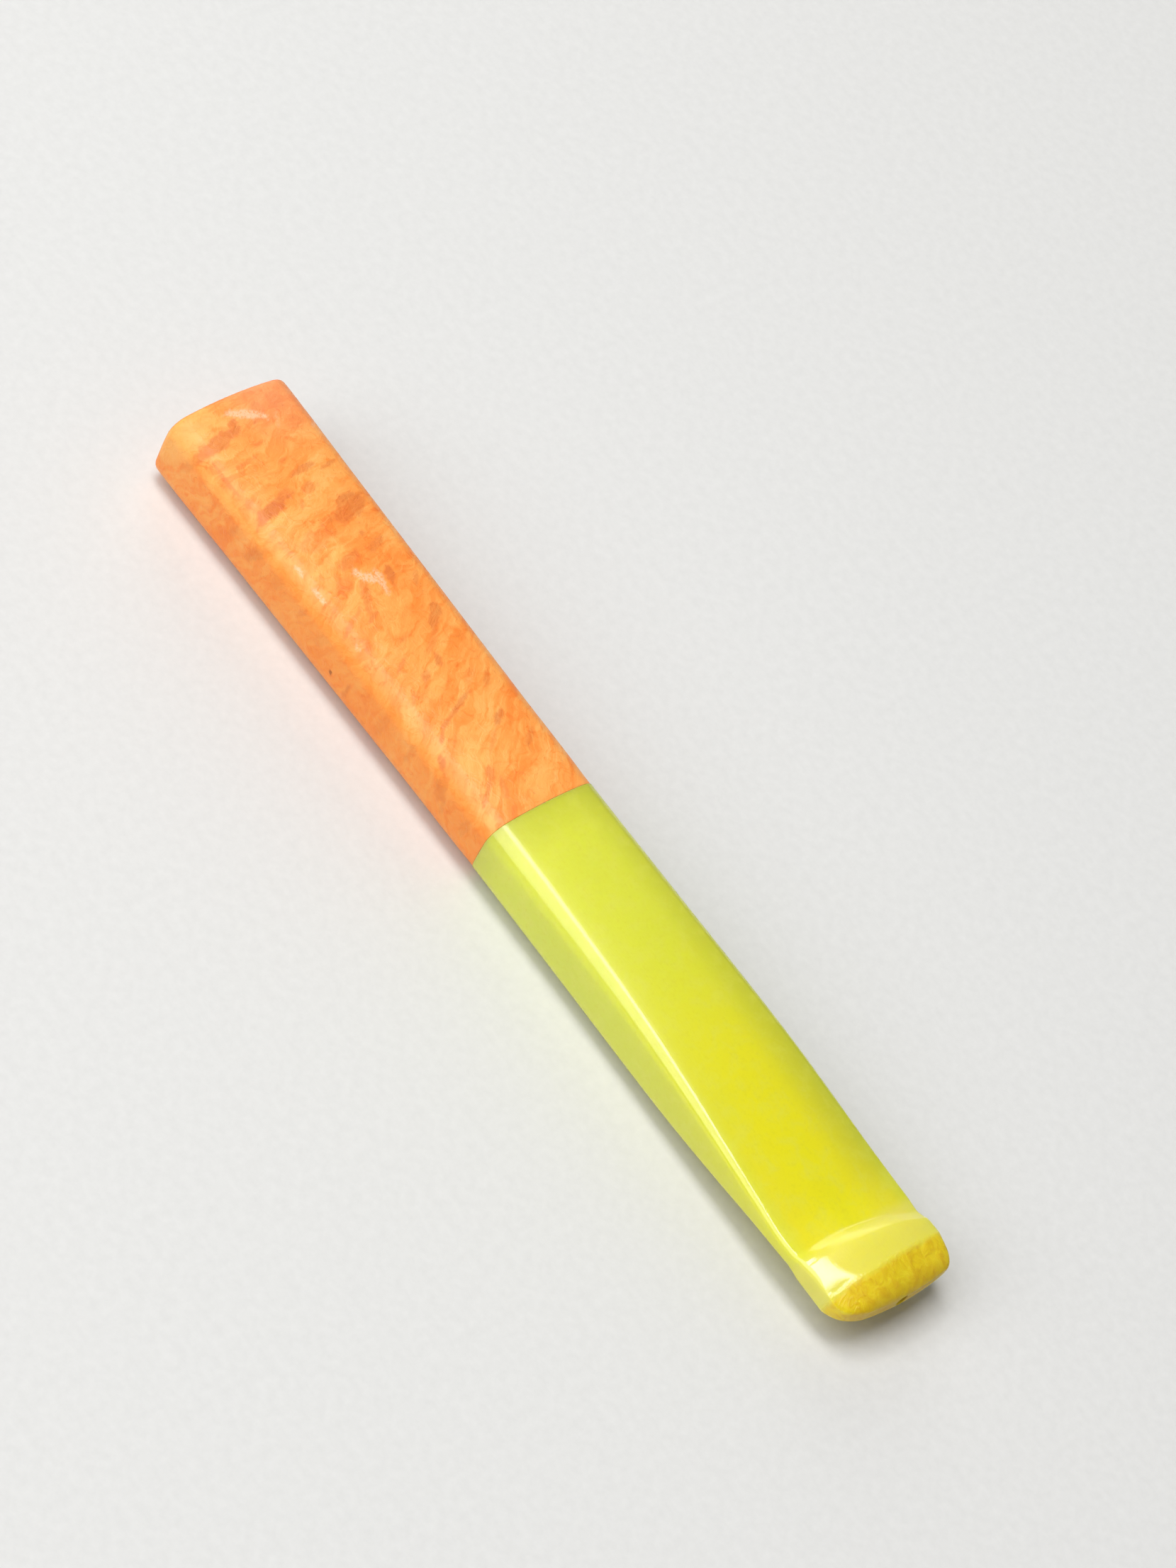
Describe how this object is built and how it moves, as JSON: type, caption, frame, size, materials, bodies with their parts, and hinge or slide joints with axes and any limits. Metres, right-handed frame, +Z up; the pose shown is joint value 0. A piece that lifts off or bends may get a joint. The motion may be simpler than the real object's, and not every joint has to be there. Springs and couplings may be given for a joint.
{
  "type": "cigarette holder",
  "caption": "Flat briar-wood cigarette holder with a round socket, a translucent yellow-green lipped mouthpiece and a pull-apart tube joint.",
  "frame": {"origin": "centre of the bounding box in X and Y, on the plane that the holder lies on", "axes": "+X along the airway from the cigarette socket to the bit, +Z up with the holder lying on its flat, +Y across its width"},
  "size_m": [0.113, 0.0152, 0.0097],
  "materials": {
    "briar_wood": "waxed satin burl, orange-brown mottled grain",
    "resin": "translucent yellow-green cast resin, polished, worn matt at the tip",
    "tube_metal": "turned"
  },
  "bodies": {
    "body": {"wooden_body": "briar_wood"},
    "tenon": {"tenon_tube": "tube_metal"},
    "bit": {"mouthpiece": "resin"}
  },
  "joints": [
    {"name": "mouthpiece_pull", "type": "slide", "parent": "body", "child": "tenon", "axis": [1, 0, 0], "range_m": [0, 0.014]},
    {"name": "mouthpiece_twist", "type": "hinge", "parent": "tenon", "child": "bit", "pos_m": [-0.0028, 0, 0.00485], "axis": [1, 0, 0], "continuous": true}
  ]
}
